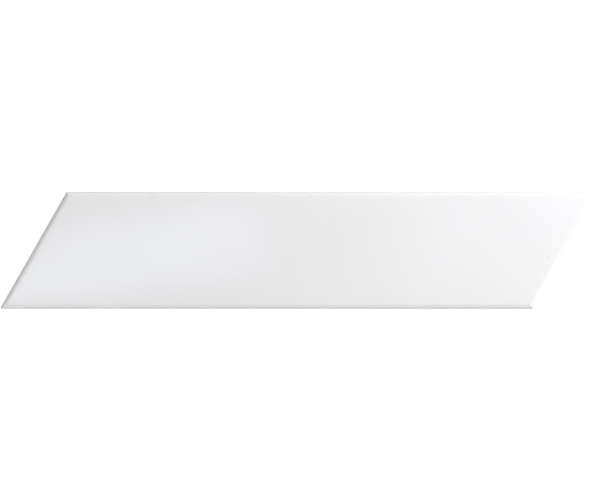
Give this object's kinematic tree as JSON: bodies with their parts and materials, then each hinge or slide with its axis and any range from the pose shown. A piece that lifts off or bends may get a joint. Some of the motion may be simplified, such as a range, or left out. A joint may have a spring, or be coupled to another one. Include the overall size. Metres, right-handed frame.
{
  "type": "wall tile",
  "caption": "Glossy white glazed ceramic wall tile: a slant-ended parallelogram with a softly rounded edge round the face, drafted sides and a keyed back.",
  "frame": {"origin": "middle of the back, in the plane that the tile lies on", "axes": "+X along the long sides, +Y across them, +Z out of the glazed face; seen from the face the ends lean towards +X"},
  "size_m": [0.256, 0.05, 0.008],
  "materials": {
    "glazed_tile": "gloss"
  },
  "bodies": {
    "root": {"tile": "glazed_tile"}
  },
  "joints": []
}
